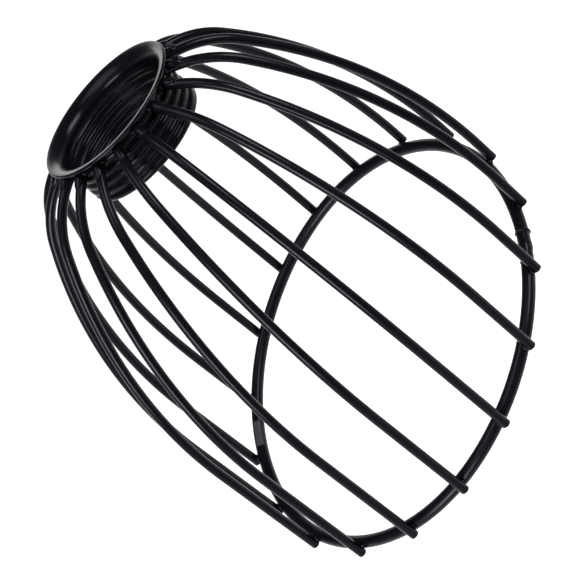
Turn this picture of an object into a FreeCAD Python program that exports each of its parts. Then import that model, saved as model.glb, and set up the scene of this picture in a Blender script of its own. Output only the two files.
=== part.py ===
import FreeCAD, Part
import math
import os
import Sketcher
from FreeCAD import Placement, Rotation, Vector

# Welded wire bulb cage guard. A flared collar screws on to a lamp holder, eighteen bent ribs are
# welded under its lip, and their lower ends stand round the outside of an oblique mouth ring.
# Origin: on the collar's axis, at the top of its sleeve where the bell mouth begins. +Z points up,
# out of the bell mouth, and the longest rib is on +X. Depths are measured down from the lip's crest.

SIZES = (
    ("bore_radius", 19.2, "collar: inside of the sleeve"),
    ("sleeve_wall", 1.6, "collar: sleeve wall, over the thread's depth"),
    ("collar_length", 16.5, "collar: crest of the lip to the lower end"),
    ("flare_radius", 4.2, "collar: bend of the bell mouth"),
    ("lip_width", 1.0, "collar: crest of the lip to its edge"),
    ("lip_drop", 0.8, "collar: fall of the lip from the mouth's crest to its edge"),
    ("lip_thickness", 1.0, "collar: height of the lip's edge"),
    ("neck_fillet", 2.2, "collar: bend between the lip's underside and the sleeve"),
    ("thread_start", 6.2, "thread: crest of the lip to the middle of the first groove inside"),
    ("thread_pitch", 2.9, "thread: pitch of the rolled grooves"),
    ("thread_turns", 3, "thread: grooves on each side of the sheet"),
    ("thread_depth", 0.8, "thread: depth of a groove"),
    ("groove_radius", 0.95, "thread: round of a groove"),
    ("rib_count", 18, "ribs: number round the cage"),
    ("rib_diameter", 2.9, "ribs: wire diameter"),
    ("root_slope", 12.5, "ribs: slope of the wire at the collar in degrees"),
    ("shoulder_radius", 30.7, "ribs: bend near the collar, on the wire's middle"),
    ("shoulder_slope", 56.6, "ribs: slope of the wire where that bend ends in degrees"),
    ("cage_radius", 63.6, "ribs: middle of the upright run from the collar's axis"),
    ("short_upright", 1.0, "ribs: upright run of the shortest one, from its bend to the mouth's plane"),
    ("tip_overhang", 0.2, "ribs: tip beyond the mouth's plane"),
    ("weld_set", 0.3, "welds: how far a rib is set into the ring and the sleeve"),
    ("mouth_slant", 18.0, "mouth: slant of its plane in degrees, falling towards +X"),
    ("ring_diameter", 4.0, "mouth ring: wire diameter"),
)

# Places worked out from the sizes. The neck under the lip carries the ribs and the ring lies inside them.
# The mouth's plane clears the end of the shortest rib's bend, so it moves with the ribs' shape.
CREST_HEIGHT = "sizes.flare_radius"
SLEEVE_RADIUS = "(sizes.bore_radius + sizes.sleeve_wall)"
RIM_RADIUS = "(sizes.bore_radius + sizes.flare_radius + sizes.lip_width)"
LIP_UNDERSIDE = "(sizes.lip_drop + sizes.lip_thickness)"
INNER_GROOVE = "(sizes.bore_radius - sizes.groove_radius + sizes.thread_depth)"
OUTER_GROOVE = f"({SLEEVE_RADIUS} + sizes.groove_radius - sizes.thread_depth)"
RIB_DEPTH = f"({LIP_UNDERSIDE} + sizes.rib_diameter / 2)"
RIB_ROOT = f"({SLEEVE_RADIUS} - sizes.weld_set)"
ROOT_SHIFT = "(sizes.shoulder_radius * sin(sizes.root_slope))"
ROOT_RISE = "(sizes.shoulder_radius * cos(sizes.root_slope))"
SHOULDER_REACH = f"(sizes.shoulder_radius * sin(sizes.shoulder_slope) - {ROOT_SHIFT})"
SIDE_RADIUS = f"((sizes.cage_radius - {RIB_ROOT} - {SHOULDER_REACH}) / (1 - sin(sizes.shoulder_slope)))"
BEND_DROP = f"({ROOT_RISE} + ({SIDE_RADIUS} - sizes.shoulder_radius) * cos(sizes.shoulder_slope))"
MOUTH_FALL = "(sizes.cage_radius * tan(sizes.mouth_slant))"
MOUTH_DEPTH = f"({RIB_DEPTH} + {BEND_DROP} + sizes.short_upright + {MOUTH_FALL})"
RING_RADIUS = "(sizes.cage_radius - (sizes.rib_diameter + sizes.ring_diameter) / 2 + sizes.weld_set)"

# Points of a sketch's edge, and the sketch's own origin and axes.
START, END, CENTRE = 1, 2, 3
ORIGIN = (-1, START)
X_AXIS = -1

doc = FreeCAD.newDocument("bulb_cage_guard")


def fill_sheet():
    sheet = doc.addObject("Spreadsheet::Sheet", "sizes")
    for row, (alias, value, meaning) in enumerate(SIZES, start=1):
        sheet.set(f"A{row}", meaning)
        sheet.set(f"B{row}", str(value))
        sheet.setAlias(f"B{row}", alias)
    doc.recompute()
    return sheet


sizes = fill_sheet()


def measure(expression):
    """Value now of an expression in the sheet's sizes, for a sketch's first layout."""
    return sizes.evalExpression(expression)


def bind(sketch, kind, points, expression):
    """Adds a dimension between sketch points and ties it to the sheet."""
    number = sketch.addConstraint(Sketcher.Constraint(kind, *points, measure(expression)))
    sketch.setExpression(f"Constraints[{number}]", expression)


def draw_arc(sketch, centre, radius, first, last):
    """Adds an arc that runs anticlockwise between two angles in radians."""
    circle = Part.Circle(Vector(*centre, 0), Vector(0, 0, 1), radius)
    return sketch.addGeometry(Part.ArcOfCircle(circle, first, last), False)


def section_sketch(body, name):
    """Empty sketch in a plane through a body's axis."""
    plane = next(item for item in body.Origin.OriginFeatures if item.Role == "XZ_Plane")
    sketch = body.newObject("Sketcher::SketchObject", name)
    sketch.AttachmentSupport = (plane, [""])
    sketch.MapMode = "FlatFace"
    return sketch


def collar():
    """Pressed sheet collar: bell mouth, drooping lip and sleeve, turned about the axis and threaded."""
    body = doc.addObject("PartDesign::Body", "collar")
    sketch = section_sketch(body, "collar_section")
    bore = measure("sizes.bore_radius")
    sleeve = measure(SLEEVE_RADIUS)
    bottom = -measure("sizes.collar_length")
    flare = measure("sizes.flare_radius")
    rim = measure(RIM_RADIUS)
    drop = measure("sizes.lip_drop")
    underside = -measure(LIP_UNDERSIDE)
    fillet = measure("sizes.neck_fillet")
    crest = bore + flare
    droop = ((rim - crest) ** 2 + drop ** 2) / (2 * drop)

    def line(x0, y0, x1, y1):
        return sketch.addGeometry(Part.LineSegment(Vector(x0, y0, 0), Vector(x1, y1, 0)), False)

    quarter = math.pi / 2
    bore_wall = line(bore, bottom, bore, -flare)
    bell = draw_arc(sketch, (crest, -flare), flare, quarter, 2 * quarter)
    edge_angle = Vector(1, 0, 0).getAngle(Vector(rim - crest, droop - drop, 0))
    lip = draw_arc(sketch, (crest, -droop), droop, edge_angle, quarter)
    edge = line(rim, -drop, rim, underside)
    under = line(rim, underside, sleeve + fillet, underside)
    neck = draw_arc(sketch, (sleeve + fillet, underside - fillet), fillet, quarter, 2 * quarter)
    outer_wall = line(sleeve, underside - fillet, sleeve, bottom)
    lower_end = line(sleeve, bottom, bore, bottom)

    def join(kind, *points):
        sketch.addConstraint(Sketcher.Constraint(kind, *points))

    join("Tangent", bore_wall, END, bell, END)
    join("Tangent", bell, START, lip, END)
    join("Coincident", lip, START, edge, START)
    join("Coincident", edge, END, under, START)
    join("Tangent", under, END, neck, START)
    join("Tangent", neck, END, outer_wall, START)
    join("Coincident", outer_wall, END, lower_end, START)
    join("Coincident", lower_end, END, bore_wall, START)
    for upright in (bore_wall, edge, outer_wall):
        join("Vertical", upright)
    for level in (under, lower_end):
        join("Horizontal", level)
    join("PointOnObject", bell, START, X_AXIS)
    join("Vertical", bell, START, bell, CENTRE)
    bind(sketch, "DistanceX", (*ORIGIN, bore_wall, START), "sizes.bore_radius")
    bind(sketch, "DistanceX", (*ORIGIN, lower_end, START), SLEEVE_RADIUS)
    bind(sketch, "DistanceX", (*ORIGIN, lip, START), RIM_RADIUS)
    bind(sketch, "DistanceY", (lower_end, START, *ORIGIN), "sizes.collar_length")
    bind(sketch, "DistanceY", (lip, START, *ORIGIN), "sizes.lip_drop")
    bind(sketch, "DistanceY", (edge, END, edge, START), "sizes.lip_thickness")
    bind(sketch, "Radius", (bell,), "sizes.flare_radius")
    bind(sketch, "Radius", (neck,), "sizes.neck_fillet")

    turned = body.newObject("PartDesign::Revolution", "collar_turned")
    turned.Profile = sketch
    turned.ReferenceAxis = (sketch, ["V_Axis"])
    turned.Angle = 360
    roll_thread(body)
    body.setExpression("Placement.Base.z", CREST_HEIGHT)
    doc.recompute()
    return body


def roll_thread(body):
    """Round thread shown as closed grooves, with those outside half a pitch below those inside."""
    sketch = section_sketch(body, "thread_section")
    first = "sizes.thread_start"
    half_lower = f"({first} + sizes.thread_pitch / 2)"
    for radius, depth in ((INNER_GROOVE, first), (OUTER_GROOVE, half_lower)):
        middle = Vector(measure(radius), -measure(depth), 0)
        circle = Part.Circle(middle, Vector(0, 0, 1), measure("sizes.groove_radius"))
        groove = sketch.addGeometry(circle, False)
        bind(sketch, "DistanceX", (*ORIGIN, groove, CENTRE), radius)
        bind(sketch, "DistanceY", (groove, CENTRE, *ORIGIN), depth)
        bind(sketch, "Radius", (groove,), "sizes.groove_radius")

    cut = body.newObject("PartDesign::Groove", "first_grooves")
    cut.Profile = sketch
    cut.ReferenceAxis = (sketch, ["V_Axis"])
    cut.Angle = 360
    grooves = body.newObject("PartDesign::LinearPattern", "thread_grooves")
    grooves.Originals = [cut]
    grooves.Direction = (sketch, ["V_Axis"])
    grooves.Reversed = True
    grooves.setExpression("Length", "sizes.thread_pitch * (sizes.thread_turns - 1)")
    grooves.setExpression("Occurrences", "sizes.thread_turns")
    body.Tip = grooves


def wire(name, path, edges, root, diameter):
    """Round wire swept along a path, with its section square to one end of the first edge."""
    section = doc.addObject("Part::Circle", f"{name}_section")
    section.setExpression("Radius", f"{diameter} / 2")
    section.AttachmentSupport = (path, ["Edge1"])
    section.MapMode = "NormalToEdge"
    section.MapPathParameter = root
    swept = doc.addObject("Part::Sweep", name)
    swept.Sections = [section]
    swept.Spine = (path, [f"Edge{number}" for number in range(1, edges + 1)])
    swept.Solid = True
    swept.Frenet = False
    return swept


def flat_arc(x, y, radius, first):
    """Quarter arc about a centre, from an angle in degrees."""
    return Part.makeCircle(radius, Vector(x, y, 0), Vector(0, 0, 1), first, first + 90)


def mouth_ring():
    """Ring of heavier wire, bent in the slanted plane to an oval of four quarter arcs.

    The arcs meet at 45 degrees. Seen from above the ring is a circle inside the upright runs.
    """
    half_width = measure(RING_RADIUS)
    half_length = half_width / math.cos(math.radians(measure("sizes.mouth_slant")))
    end_radius = (half_width - (math.sqrt(2) - 1) * half_length) / (2 - math.sqrt(2))
    shift = half_length - end_radius
    side_radius = half_width + shift
    path = doc.addObject("Part::Feature", "ring_path")
    path.Shape = Part.Wire([
        flat_arc(shift, 0, end_radius, 315),
        flat_arc(0, -shift, side_radius, 45),
        flat_arc(-shift, 0, end_radius, 135),
        flat_arc(0, shift, side_radius, 225),
    ])
    path.Placement = Placement(Vector(), Rotation(Vector(0, 1, 0), 1))
    path.setExpression("Placement.Rotation.Angle", "sizes.mouth_slant")
    path.setExpression("Placement.Base.z", f"{CREST_HEIGHT} - {MOUTH_DEPTH}")
    doc.recompute()
    ring = wire("base_ring", path, 4, 0, "sizes.ring_diameter")
    doc.recompute()
    return ring


def rib(number, seats):
    """One rib: a shoulder bend from under the lip, a long side bend and an upright run, then seated."""
    turn = f"{number - 1} * 360 / sizes.rib_count"
    tip = f"({MOUTH_DEPTH} + {MOUTH_FALL} * cos({turn}) + sizes.tip_overhang)"
    name = f"rib_{number:02d}"

    root = measure(RIB_ROOT)
    depth = measure(RIB_DEPTH)
    shoulder = measure("sizes.shoulder_radius")
    side = measure(SIDE_RADIUS)
    cage = measure("sizes.cage_radius")
    bend_end = -depth - measure(BEND_DROP)
    first = math.radians(90 - measure("sizes.root_slope"))
    corner = math.radians(90 - measure("sizes.shoulder_slope"))
    middle = (root - measure(ROOT_SHIFT), -depth - measure(ROOT_RISE))

    path = doc.addObject("Sketcher::SketchObject", f"{name}_path")
    shoulder_bend = draw_arc(path, middle, shoulder, corner, first)
    side_bend = draw_arc(path, (cage - side, bend_end), side, 0, corner)
    straight = Part.LineSegment(Vector(cage, bend_end, 0), Vector(cage, -measure(tip), 0))
    upright = path.addGeometry(straight, False)
    path.addConstraint(Sketcher.Constraint("Tangent", shoulder_bend, START, side_bend, END))
    path.addConstraint(Sketcher.Constraint("Tangent", side_bend, START, upright, START))
    path.addConstraint(Sketcher.Constraint("Vertical", upright))
    bind(path, "DistanceX", (shoulder_bend, CENTRE, shoulder_bend, END), ROOT_SHIFT)
    bind(path, "DistanceX", (*ORIGIN, shoulder_bend, END), RIB_ROOT)
    bind(path, "DistanceY", (shoulder_bend, END, *ORIGIN), RIB_DEPTH)
    bind(path, "Radius", (shoulder_bend,), "sizes.shoulder_radius")
    bind(path, "DistanceX", (*ORIGIN, upright, START), "sizes.cage_radius")
    bind(path, "Radius", (side_bend,), SIDE_RADIUS)
    bind(path, "DistanceY", (upright, END, *ORIGIN), tip)

    # The path is drawn flat, stood upright and turned to the rib's place round the collar.
    stood_up = Rotation(Vector(1, 0, 0), 90)
    turned = Rotation(Vector(0, 0, 1), measure(turn))
    path.Placement = Placement(Vector(), turned.multiply(stood_up))
    path.setExpression("Placement.Base.z", CREST_HEIGHT)
    doc.recompute()
    seated = doc.addObject("Part::Cut", name)
    seated.Base = wire(f"{name}_wire", path, 3, 1, "sizes.rib_diameter")
    seated.Tool = seats
    return seated


def check(pieces):
    failed = [item.Name for item in doc.Objects if {"Invalid", "Error"} & set(item.State)]
    failed += [piece.Label for piece in pieces if piece.Shape.isNull() or not piece.Shape.isValid()]
    if failed:
        raise RuntimeError("not built: " + ", ".join(failed))


flared_collar = collar()
base_ring = mouth_ring()
seats = doc.addObject("Part::Compound", "rib_seats")
seats.Links = [flared_collar, base_ring]
ribs = [rib(number, seats) for number in range(1, int(measure("sizes.rib_count")) + 1)]
doc.recompute()

pieces = [flared_collar, base_ring, *ribs]
check(pieces)
os.makedirs("parts", exist_ok=True)
for piece in pieces:
    piece.Shape.exportStep(f"parts/{piece.Label}.step")
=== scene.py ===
from math import atan2, cos, hypot, pi, radians, sin, tan
from random import Random

import bmesh
import bpy
from mathutils import Matrix, Vector, noise


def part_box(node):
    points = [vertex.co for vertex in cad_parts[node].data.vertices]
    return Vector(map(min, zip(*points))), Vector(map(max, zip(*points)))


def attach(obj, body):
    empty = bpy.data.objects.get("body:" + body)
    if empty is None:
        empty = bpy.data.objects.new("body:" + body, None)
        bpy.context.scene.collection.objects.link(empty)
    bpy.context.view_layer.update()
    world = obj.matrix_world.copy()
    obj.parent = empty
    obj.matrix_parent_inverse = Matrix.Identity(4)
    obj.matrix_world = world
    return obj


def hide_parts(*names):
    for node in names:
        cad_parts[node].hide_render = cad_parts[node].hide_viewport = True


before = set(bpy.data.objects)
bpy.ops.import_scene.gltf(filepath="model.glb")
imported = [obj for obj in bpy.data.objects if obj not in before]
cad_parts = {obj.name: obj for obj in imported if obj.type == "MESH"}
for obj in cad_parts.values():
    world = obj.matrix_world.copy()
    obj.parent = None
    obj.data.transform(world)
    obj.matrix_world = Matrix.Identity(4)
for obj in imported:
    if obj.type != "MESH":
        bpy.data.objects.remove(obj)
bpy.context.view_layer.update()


# Ribs: eighteen lengths of drawn steel wire, bent to one shape and cut to different lengths, welded under
# the collar's lip and sprayed black with the rest of the cage. Their solids are kept as they are.

MM = 0.001
RIB_NODES = [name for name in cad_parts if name.startswith("rib_")]
FILM_DARK = "#070609"
FILM_PALE = "#0c0b10"
FILM_RUBBED = "#1a181f"
# Pale grey of a painted highlight on one spot of the mouth ring.
PAINTED_HIGHLIGHT_GREY = "#464449"
FILM_TINT = "#f3efff"
FILM_IOR = 1.5
FILM_SPECULAR = 0.15
FLOW_SIZE = 9 * MM
SHEEN_BELOW = 0.06
SHEEN_ABOVE = 0.08
RUB_SIZE = 5 * MM
RUB_STARTS = 0.64
RUB_FULL = 0.78
RUB_SHARE = 0.6
PEEL_DEPTH = 0.03 * MM
PEEL_STRENGTH = 0.35
PATCH_EDGE = 0.3 * MM
WIRE_ROUGHNESS = 0.19
WIRE_PEEL = 0.9 * MM


def linear(colour):
    """Linear RGBA of an sRGB hex colour."""
    channels = [int(colour[start:start + 2], 16) / 255 for start in (1, 3, 5)]
    return (*(c / 12.92 if c <= 0.04045 else ((c + 0.055) / 1.055) ** 2.4 for c in channels), 1.0)


def add_node(tree, kind, settings, inputs):
    """Adds a node, sets its properties, and sets or links its inputs."""
    node = tree.nodes.new(kind)
    for name, value in settings.items():
        setattr(node, name, value)
    for name, value in inputs.items():
        if isinstance(value, bpy.types.NodeSocket):
            tree.links.new(value, node.inputs[name])
        else:
            node.inputs[name].default_value = value
    return node


def black_enamel(name, roughness, peel_size, painted_highlight_patch=None):
    """Sprayed black stoving enamel, satin: a thin even film that flows a little, with a fine peel.

    The eye sees a near-black with a slight violet cast, a soft sheen that varies along the wire, and thin
    highlights broken up by the peel. The film is duller than a typical enamel, so its specular level is low.
    Where a highlight patch is given, a painted highlight: the film is painted pale grey between two ends and
    two edges.
    """
    material = bpy.data.materials.new(name)
    material.use_nodes = True
    tree = material.node_tree
    tree.nodes.clear()
    place = add_node(tree, "ShaderNodeTexCoord", {}, {}).outputs["Object"]
    film = add_node(tree, "ShaderNodeTexNoise", {}, {"Vector": place, "Scale": 1 / FLOW_SIZE, "Detail": 4.0})
    colour = add_node(
        tree, "ShaderNodeMix", {"data_type": "RGBA"},
        {"Factor": film.outputs["Fac"], "A": linear(FILM_DARK), "B": linear(FILM_PALE)},
    )
    rub = add_node(tree, "ShaderNodeTexNoise", {}, {"Vector": place, "Scale": 1 / RUB_SIZE, "Detail": 6.0})
    rubbed = add_node(
        tree, "ShaderNodeMapRange", {},
        {"Value": rub.outputs["Fac"], "From Min": RUB_STARTS, "From Max": RUB_FULL, "To Max": RUB_SHARE},
    )
    worn = add_node(
        tree, "ShaderNodeMix", {"data_type": "RGBA"},
        {"Factor": rubbed.outputs["Result"], "A": colour.outputs["Result"], "B": linear(FILM_RUBBED)},
    )
    paint = worn.outputs["Result"]
    if painted_highlight_patch:
        middle, spans = painted_highlight_patch
        away = add_node(tree, "ShaderNodeVectorMath", {"operation": "SUBTRACT"}, {0: place, 1: middle})
        painted_highlight = 1.0
        for direction, half_span in spans:
            reach = add_node(
                tree, "ShaderNodeVectorMath", {"operation": "DOT_PRODUCT"},
                {0: away.outputs["Vector"], 1: direction},
            )
            reach = add_node(tree, "ShaderNodeMath", {"operation": "ABSOLUTE"}, {0: reach.outputs["Value"]})
            within = add_node(
                tree, "ShaderNodeMapRange", {},
                {
                    "Value": reach.outputs["Value"],
                    "From Min": half_span + PATCH_EDGE,
                    "From Max": half_span - PATCH_EDGE,
                },
            )
            painted_highlight = add_node(
                tree, "ShaderNodeMath", {"operation": "MULTIPLY"}, {0: painted_highlight, 1: within.outputs["Result"]}
            ).outputs["Value"]
        # Painted highlight: inside the patch the film is painted pale grey.
        paint = add_node(
            tree, "ShaderNodeMix", {"data_type": "RGBA"},
            {"Factor": painted_highlight, "A": paint, "B": linear(PAINTED_HIGHLIGHT_GREY)},
        ).outputs["Result"]
    sheen = add_node(
        tree, "ShaderNodeMapRange", {},
        {"Value": film.outputs["Fac"], "To Min": roughness - SHEEN_BELOW, "To Max": roughness + SHEEN_ABOVE},
    )
    peel = add_node(tree, "ShaderNodeTexNoise", {}, {"Vector": place, "Scale": 1 / peel_size, "Detail": 3.0})
    bump = add_node(
        tree, "ShaderNodeBump", {},
        {"Height": peel.outputs["Fac"], "Strength": PEEL_STRENGTH, "Distance": PEEL_DEPTH},
    )
    shader = add_node(
        tree, "ShaderNodeBsdfPrincipled", {},
        {
            "Base Color": paint,
            "Roughness": sheen.outputs["Result"],
            "IOR": FILM_IOR,
            "Specular IOR Level": FILM_SPECULAR,
            "Specular Tint": linear(FILM_TINT),
            "Normal": bump.outputs["Normal"],
        },
    )
    add_node(tree, "ShaderNodeOutputMaterial", {}, {"Surface": shader.outputs["BSDF"]})
    return material


wire_enamel = black_enamel("black enamel on drawn wire", WIRE_ROUGHNESS, WIRE_PEEL)
for name in RIB_NODES:
    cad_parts[name].data.materials.clear()
    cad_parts[name].data.materials.append(wire_enamel)


# Mouth ring: one length of heavier steel wire, rolled to an oval that lies in the slanted plane of the mouth
# and butt welded. The ribs stand round its outside. Its solid is kept and has the same enamel, with a painted
# highlight: one spot on the lit side of the wire is painted pale grey.

RING_ROUGHNESS = 0.24
# Painted highlight: middle, half length and half width of the pale grey patch on the lit side of the ring's
# wire.
PAINTED_HIGHLIGHT_MIDDLE = Vector((23.7, -55.8, -121.7)) * MM
PAINTED_HIGHLIGHT_HALF_LENGTH = 4.6 * MM
PAINTED_HIGHLIGHT_HALF_WIDTH = 1.25 * MM
ALONG_RING = Vector((0.88, 0.39, -0.28))
ACROSS_RING = Vector((-0.48, 0.64, -0.60))
painted_highlight_spans = ((ALONG_RING, PAINTED_HIGHLIGHT_HALF_LENGTH), (ACROSS_RING, PAINTED_HIGHLIGHT_HALF_WIDTH))
ring_enamel = black_enamel(
    "black enamel on the mouth ring", RING_ROUGHNESS, WIRE_PEEL, (PAINTED_HIGHLIGHT_MIDDLE, painted_highlight_spans)
)
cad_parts["base_ring"].data.materials.clear()
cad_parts["base_ring"].data.materials.append(ring_enamel)


# Collar: a ring of thin sheet steel, spun out at the top into a bell mouth with a thin rounded rim. A round
# thread is rolled through the sheet, so that its ridges show inside and out. Inside, it starts on its helix
# below the bell mouth. The lowest part is a plain band with a rounded edge.

BORE = 19.2 * MM
SLEEVE = 20.8 * MM
RIM = 23.95 * MM
CREST = 4.2 * MM
LIP_UNDERSIDE = 3.3 * MM
FLARE_ROOT = 2.5 * MM
COLLAR_END = -12.3 * MM
BORE_EDGE_ROUND = 0.5 * MM
BELL_ROUND = 4.19 * MM
RIM_ROUND = 0.53 * MM
LIP_ROUND = 0.35 * MM
NECK_ROUND = 0.4 * MM
SLEEVE_EDGE_ROUND = 0.9 * MM
ROUND_SEGMENTS = 10
THREAD_PITCH = 2.9 * MM
THREAD_DEPTH = 0.9 * MM
INNER_THREAD_TOP = 0.2 * MM
OUTER_THREAD_TOP = 2.0 * MM
THREAD_END = -11.2 * MM
THREAD_RUNOUT = 0.8 * MM
THREAD_START = radians(40)
THREAD_LEAD_IN = radians(40)
COLLAR_STEPS = 160
WALL_CUTS = 120
SHORTEST_WALL = 9 * MM
ON_WALL = 0.01 * MM
SHEET_ROUGHNESS = 0.19
SHEET_PEEL = 1.1 * MM


def finish_piece(mesh_name, bm, material):
    """Turns a bmesh into a smooth piece of the object with its finish, riding on the frame."""
    bmesh.ops.recalc_face_normals(bm, faces=bm.faces)
    mesh = bpy.data.meshes.new(mesh_name)
    bm.to_mesh(mesh)
    bm.free()
    mesh.shade_smooth()
    mesh.materials.append(material)
    piece = bpy.data.objects.new(mesh_name, mesh)
    bpy.context.scene.collection.objects.link(piece)
    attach(piece, "root")
    return piece


def ease(value, start, end):
    """Smooth step from 0 at start to 1 at end."""
    share = min(max((value - start) / (end - start), 0.0), 1.0)
    return share * share * (3 - 2 * share)


collar = bmesh.new()
collar_corners = (
    (BORE, COLLAR_END, BORE_EDGE_ROUND),
    (BORE, CREST, BELL_ROUND),
    (RIM, CREST, RIM_ROUND),
    (RIM, LIP_UNDERSIDE, LIP_ROUND),
    (SLEEVE, FLARE_ROOT, NECK_ROUND),
    (SLEEVE, COLLAR_END, SLEEVE_EDGE_ROUND),
)
corners = [collar.verts.new((radius, 0, height)) for radius, height, _ in collar_corners]
for here, there in zip(corners, corners[1:] + corners[:1]):
    collar.edges.new((here, there))
for corner, (_, _, rounding) in zip(corners, collar_corners):
    bmesh.ops.bevel(
        collar, geom=[corner], offset=rounding, segments=ROUND_SEGMENTS, profile=0.5, affect="VERTICES",
        material=-1,
    )
walls = [edge for edge in collar.edges if edge.calc_length() > SHORTEST_WALL]
bmesh.ops.subdivide_edges(collar, edges=walls, cuts=WALL_CUTS)
bmesh.ops.spin(
    collar, geom=collar.verts[:] + collar.edges[:], cent=(0, 0, 0), axis=(0, 0, 1), angle=2 * pi,
    steps=COLLAR_STEPS, use_merge=True,
)
for vert in collar.verts:
    radius = hypot(vert.co.x, vert.co.y)
    height = vert.co.z
    inside = abs(radius - BORE) < ON_WALL
    if not inside and abs(radius - SLEEVE) > ON_WALL:
        continue
    turn = atan2(vert.co.y, vert.co.x)
    wound = (THREAD_START - turn) % (2 * pi)
    lead_in = ease(wound, 0, THREAD_LEAD_IN) * (1 - wound / (2 * pi))
    top = INNER_THREAD_TOP - THREAD_PITCH * (1 - lead_in) if inside else OUTER_THREAD_TOP
    wave = cos(2 * pi * height / THREAD_PITCH - turn)
    groove = ((1 + wave if inside else 1 - wave) / 2) ** 2
    groove *= ease(height, top, top - THREAD_RUNOUT) * ease(height, THREAD_END, THREAD_END + THREAD_RUNOUT)
    rolled = radius + (groove if inside else -groove) * THREAD_DEPTH
    vert.co.x *= rolled / radius
    vert.co.y *= rolled / radius
sheet_enamel = black_enamel("black enamel on spun sheet", SHEET_ROUGHNESS, SHEET_PEEL)
collar_piece = finish_piece("threaded_collar", collar, sheet_enamel)
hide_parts("collar")


# Root welds: beads of steel that hold each rib under the lip, painted with the rest. A smooth one runs from
# the wire's back up to the lip's edge, and small ones close both sides. Spatter has stuck to the sleeve, and
# most of it to the roots on one side.

RIB_COUNT = len(RIB_NODES)
LUMP_SIZE = 0.9 * MM
BALL_LUMPS = 0.1
BEAD_SLOPE = radians(29)
BEAD_OUT = (23.8, 24.0)
BEAD_HEIGHT = 1.0 * MM
BEAD_LENGTH = 3.6 * MM
BEAD_WIDTH = 1.43 * MM
BEAD_THICKNESS = 1.25 * MM
BEAD_LUMPS = 0.04 * MM
SIDE_BEAD_OUT = (20.9, 21.4)
SIDE_BEAD_OFFSET = 1.3 * MM
SIDE_BEAD_HEIGHT = (0.9, 1.7)
SIDE_BEAD_LENGTH = (0.9, 1.2)
SIDE_BEAD_WIDTH = 0.6 * MM
SIDE_BEAD_THICKNESS = 0.9 * MM
SIDE_BEAD_LUMPS = 0.1 * MM
SLEEVE_DROPS = 2
SLEEVE_DROP_SPREAD = (-3, 3)
SLEEVE_DROP_HEIGHT = (-1.5, 1.5)
SLEEVE_DROP_RADIUS = (0.2, 0.35)
SPATTERED_RIBS = (5, 6, 7)
ROOT_DROPS = 6
ROOT_DROP_OUT = (23.6, 26.0)
ROOT_DROP_SPREAD = (-1.7, 1.7)
ROOT_DROP_HEIGHT = (0.9, 1.7)
ROOT_DROP_RADIUS = (0.35, 0.6)
UP = Vector((0, 0, 1))
SPATTER_SEED = 18
LUMP_SEED = 18
spatter = Random(SPATTER_SEED)
noise.seed_set(LUMP_SEED)


def at_random(span):
    """A length drawn at random from a range in millimetres."""
    return spatter.uniform(*span) * MM


def bead(bm, place, axes, lumps):
    """A lump of weld metal: a ball stretched along three axes and roughened."""
    matrix = Matrix(axes).transposed().to_4x4()
    matrix.translation = place
    made = bmesh.ops.create_icosphere(bm, subdivisions=3, radius=1, matrix=matrix)
    for vert in made["verts"]:
        vert.co += noise.noise_vector(vert.co / LUMP_SIZE) * lumps


def ball(bm, place, radius):
    """A drop of spatter."""
    bead(bm, place, Matrix.Diagonal((radius, radius, radius)), BALL_LUMPS * radius)


def around(turn):
    """Unit vectors outwards and along the circle, at an angle about the axis."""
    return Vector((cos(turn), sin(turn), 0)), Vector((-sin(turn), cos(turn), 0))


root_welds = bmesh.new()
for number in range(RIB_COUNT):
    out, side = around(2 * pi * number / RIB_COUNT)
    down_rib = out * cos(BEAD_SLOPE) - UP * sin(BEAD_SLOPE)
    off_rib = out * sin(BEAD_SLOPE) + UP * cos(BEAD_SLOPE)
    place = out * at_random(BEAD_OUT) + UP * BEAD_HEIGHT
    axes = (down_rib * BEAD_LENGTH, side * BEAD_WIDTH, off_rib * BEAD_THICKNESS)
    bead(root_welds, place, axes, BEAD_LUMPS)
    for hand in (-1, 1):
        place = out * at_random(SIDE_BEAD_OUT) + side * hand * SIDE_BEAD_OFFSET
        place += UP * at_random(SIDE_BEAD_HEIGHT)
        axes = (out * at_random(SIDE_BEAD_LENGTH), side * SIDE_BEAD_WIDTH, UP * SIDE_BEAD_THICKNESS)
        bead(root_welds, place, axes, SIDE_BEAD_LUMPS)
    for _ in range(SLEEVE_DROPS):
        place = out * SLEEVE + side * at_random(SLEEVE_DROP_SPREAD) + UP * at_random(SLEEVE_DROP_HEIGHT)
        ball(root_welds, place, at_random(SLEEVE_DROP_RADIUS))
    if number in SPATTERED_RIBS:
        for _ in range(ROOT_DROPS):
            place = out * at_random(ROOT_DROP_OUT) + side * at_random(ROOT_DROP_SPREAD)
            place += UP * at_random(ROOT_DROP_HEIGHT)
            ball(root_welds, place, at_random(ROOT_DROP_RADIUS))
finish_piece("root_welds", root_welds, wire_enamel)


# Mouth welds: where a rib crosses the ring, the two wires are pressed together and fused, and the metal that
# is squeezed out leaves a small fillet on both sides of the crossing.

RIB_RADIUS = 1.45 * MM
CAGE_RADIUS = 63.6 * MM
RING_RADIUS = 60.45 * MM
MOUTH_HEIGHT = -114.17 * MM
MOUTH_SLANT = radians(18.0)
FILLET_INSET = 0.1 * MM
FILLET_RADIUS = CAGE_RADIUS - RIB_RADIUS + FILLET_INSET
FILLET_LIFT = 0.4 * MM
FILLET_DEPTH = 0.8 * MM
FILLET_WIDTH = 1.8 * MM
FILLET_HEIGHT = 1.25 * MM
FILLET_LUMPS = 0.16 * MM


def on_ring(turn):
    """Middle of the ring's wire at an angle about the axis, with the wire's direction."""
    out, side = around(turn)
    place = out * RING_RADIUS
    place.z = MOUTH_HEIGHT - tan(MOUTH_SLANT) * place.x
    along = side - UP * tan(MOUTH_SLANT) * side.x
    return place, along.normalized()


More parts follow.
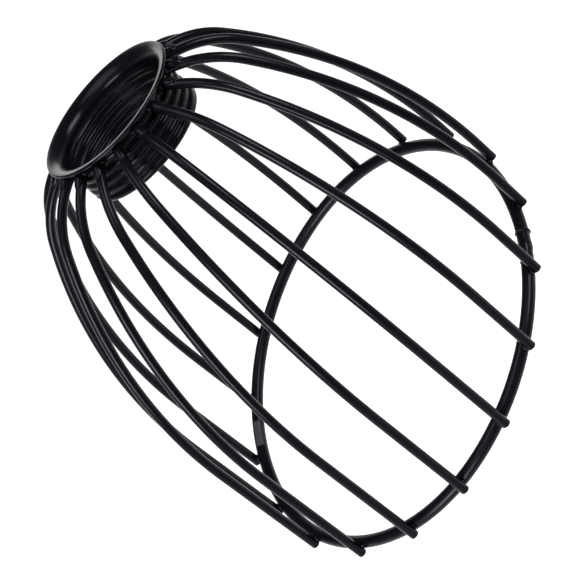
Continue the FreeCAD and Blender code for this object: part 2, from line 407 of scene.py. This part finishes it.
mouth_welds = bmesh.new()
for number in range(RIB_COUNT):
    turn = 2 * pi * number / RIB_COUNT
    out, side = around(turn)
    place = on_ring(turn)[0] + out * (FILLET_RADIUS - RING_RADIUS) + UP * FILLET_LIFT
    axes = (out * FILLET_DEPTH, side * FILLET_WIDTH, UP * FILLET_HEIGHT)
    bead(mouth_welds, place, axes, FILLET_LUMPS)
finish_piece("mouth_welds", mouth_welds, wire_enamel)


# Ring joint: the two ends of the mouth ring are butt welded beside a rib. The wire is upset to a short
# swelling there, with a raised flash at one end of it and a drop of spatter at the other.

RING_WIRE = 2.0 * MM
FLASH_TURN = radians(112)
FLASH_GIRTH = 1.2 * RING_WIRE
FLASH_REACH = 0.7 * MM
FLASH_LUMPS = 0.18 * MM
UPSET_TURN = radians(107.5)
UPSET_GIRTH = 1.06 * RING_WIRE
UPSET_REACH = 5.2 * MM
UPSET_LUMPS = 0.08 * MM
DROP_TURN = radians(103.5)
DROP_INWARD = 1.05 * RING_WIRE
DROP_RADIUS = 0.55 * MM
joint = bmesh.new()
for turn, girth, reach, lumps in (
    (FLASH_TURN, FLASH_GIRTH, FLASH_REACH, FLASH_LUMPS),
    (UPSET_TURN, UPSET_GIRTH, UPSET_REACH, UPSET_LUMPS),
):
    place, along = on_ring(turn)
    out = around(turn)[0]
    square = along.cross(out)
    bead(joint, place, (out * girth, along * reach, square * girth), lumps)
drop_place = on_ring(DROP_TURN)[0] - around(DROP_TURN)[0] * DROP_INWARD
ball(joint, drop_place, DROP_RADIUS)
finish_piece("ring_joint", joint, ring_enamel)


# Rib ends: the wires are sheared off a little beyond the ring. The burr was dressed and the enamel draws
# itself into a rounded skin over the cut.

END_DOME = 0.4 * MM
NUMBER_PLACE = len("rib_")
ends = bmesh.new()
for name in RIB_NODES:
    turn = 2 * pi * (int(name[NUMBER_PLACE:]) - 1) / RIB_COUNT
    place = around(turn)[0] * CAGE_RADIUS
    place.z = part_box(name)[0].z
    dome = Matrix.Translation(place) @ Matrix.Diagonal((RIB_RADIUS, RIB_RADIUS, END_DOME, 1))
    bmesh.ops.create_uvsphere(ends, u_segments=32, v_segments=16, radius=1, matrix=dome)
finish_piece("rib_ends", ends, wire_enamel)


# Studio: white paper well below the hanging cage, in a pale room. The paper carries a painted glow, strong
# behind the cage and dim towards the camera's side, which camera, glossy and transmission rays see. The room
# is darker overhead and on that side. Four soft boxes with grids stand low beside the cage, above the camera's
# right, overhead and, a weak one, behind.

FLOOR_HEIGHT = -0.30
FLOOR_HALF_SIZE = 6
PAPER = "#c4c4c4"
CAMERA_SIDE = Vector((0.64, 0.77, 0))
GLOW_FULL_AT = 0.04
GLOW_DIM_AT = 0.38
GLOW_FULL = 0.88
GLOW_DIM = 0.10
floor_mesh = bmesh.new()
floor_place = Matrix.Translation((0, 0, FLOOR_HEIGHT))
bmesh.ops.create_grid(floor_mesh, x_segments=1, y_segments=1, size=FLOOR_HALF_SIZE, matrix=floor_place)
floor_data = bpy.data.meshes.new("floor")
floor_mesh.to_mesh(floor_data)
floor_mesh.free()
floor = bpy.data.objects.new("floor", floor_data)
bpy.context.scene.collection.objects.link(floor)
paper = bpy.data.materials.new("white paper sweep")
paper.use_nodes = True
tree = paper.node_tree
tree.nodes.clear()
rays = add_node(tree, "ShaderNodeLightPath", {}, {})
seen = add_node(
    tree, "ShaderNodeMath", {"operation": "MAXIMUM"},
    {0: rays.outputs["Is Camera Ray"], 1: rays.outputs["Is Glossy Ray"]},
)
seen = add_node(
    tree, "ShaderNodeMath", {"operation": "MAXIMUM"},
    {0: seen.outputs[0], 1: rays.outputs["Is Transmission Ray"]},
)
spot = add_node(tree, "ShaderNodeTexCoord", {}, {}).outputs["Object"]
nearer = add_node(tree, "ShaderNodeVectorMath", {"operation": "DOT_PRODUCT"}, {0: spot, 1: CAMERA_SIDE})
# Painted glow: the paper's emission is strong away from the camera's side and dim towards it.
painted_glow = add_node(
    tree, "ShaderNodeMapRange", {"interpolation_type": "SMOOTHSTEP"},
    {
        "Value": nearer.outputs["Value"],
        "From Min": GLOW_DIM_AT,
        "From Max": GLOW_FULL_AT,
        "To Min": GLOW_DIM,
        "To Max": GLOW_FULL,
    },
)
lit = add_node(tree, "ShaderNodeBsdfDiffuse", {}, {"Color": linear(PAPER)})
glow = add_node(
    tree, "ShaderNodeEmission", {}, {"Color": (1, 1, 1, 1), "Strength": painted_glow.outputs["Result"]}
)
white = add_node(tree, "ShaderNodeAddShader", {}, {0: lit.outputs[0], 1: glow.outputs[0]})
shown = add_node(
    tree, "ShaderNodeMixShader", {}, {0: seen.outputs[0], 1: lit.outputs[0], 2: white.outputs[0]}
)
add_node(tree, "ShaderNodeOutputMaterial", {}, {"Surface": shown.outputs[0]})
floor_data.materials.append(paper)

ROOM_LOW = "#dcdce0"
ROOM_HIGH = "#68686e"
ROOM_HIGH_AT = 0.45
ROOM_DIM = "#94949a"
ROOM_DIM_AT = 0.8
DIM_SIDE = Vector((0.82, 0.57, 0))
world = bpy.data.worlds.new("pale room")
world.use_nodes = True
bpy.context.scene.world = world
tree = world.node_tree
tree.nodes.clear()
direction = add_node(tree, "ShaderNodeTexCoord", {}, {}).outputs["Generated"]
parts = add_node(tree, "ShaderNodeSeparateXYZ", {}, {"Vector": direction})
height = add_node(
    tree, "ShaderNodeMapRange", {"interpolation_type": "SMOOTHSTEP"},
    {"Value": parts.outputs["Z"], "From Max": ROOM_HIGH_AT},
)
room = add_node(
    tree, "ShaderNodeMix", {"data_type": "RGBA"},
    {"Factor": height.outputs["Result"], "A": linear(ROOM_LOW), "B": linear(ROOM_HIGH)},
)
nearer = add_node(tree, "ShaderNodeVectorMath", {"operation": "DOT_PRODUCT"}, {0: direction, 1: DIM_SIDE})
shade = add_node(
    tree, "ShaderNodeMapRange", {"interpolation_type": "SMOOTHSTEP"},
    {"Value": nearer.outputs["Value"], "From Max": ROOM_DIM_AT},
)
room = add_node(
    tree, "ShaderNodeMix", {"data_type": "RGBA"},
    {"Factor": shade.outputs["Result"], "A": room.outputs["Result"], "B": linear(ROOM_DIM)},
)
sky = add_node(tree, "ShaderNodeBackground", {}, {"Color": room.outputs["Result"], "Strength": 1.0})
add_node(tree, "ShaderNodeOutputWorld", {}, {"Surface": sky.outputs[0]})

CAGE_MIDDLE = Vector((0, 0, -0.06))
GRID_ANGLE = radians(100)


def soft_box(name, place, width, height, watts):
    """A rectangular soft box with a grid, facing the middle of the cage."""
    light = bpy.data.lights.new(name, "AREA")
    light.shape = "RECTANGLE"
    light.size = width
    light.size_y = height
    light.energy = watts
    light.spread = GRID_ANGLE
    lamp = bpy.data.objects.new(name, light)
    lamp.location = place
    lamp.rotation_euler = (CAGE_MIDDLE - Vector(place)).to_track_quat("-Z", "Y").to_euler()
    lamp.visible_camera = False
    bpy.context.scene.collection.objects.link(lamp)


soft_box("low side box", (0.78, 0.17, -0.02), 0.42, 0.45, 2.2)
soft_box("high side box", (-0.29, 0.68, 0.46), 0.52, 0.35, 1.5)
soft_box("overhead box", (0.41, 0.07, 0.96), 0.90, 0.90, 1.8)
soft_box("box behind", (-0.71, -0.90, 0.29), 0.87, 0.33, 0.55)

SENSOR = 36
LENS = 116.4
CAMERA_PLACE = (0.27133, 0.41305, 0.18482)
CAMERA_TURN = (radians(50.061), radians(43.166), radians(117.64))
camera_data = bpy.data.cameras.new("photo camera")
camera_data.sensor_width = SENSOR
camera_data.lens = LENS
camera = bpy.data.objects.new("photo camera", camera_data)
camera.location = CAMERA_PLACE
camera.rotation_euler = CAMERA_TURN
bpy.context.scene.collection.objects.link(camera)
bpy.context.scene.camera = camera
bpy.context.scene.view_settings.view_transform = "Standard"
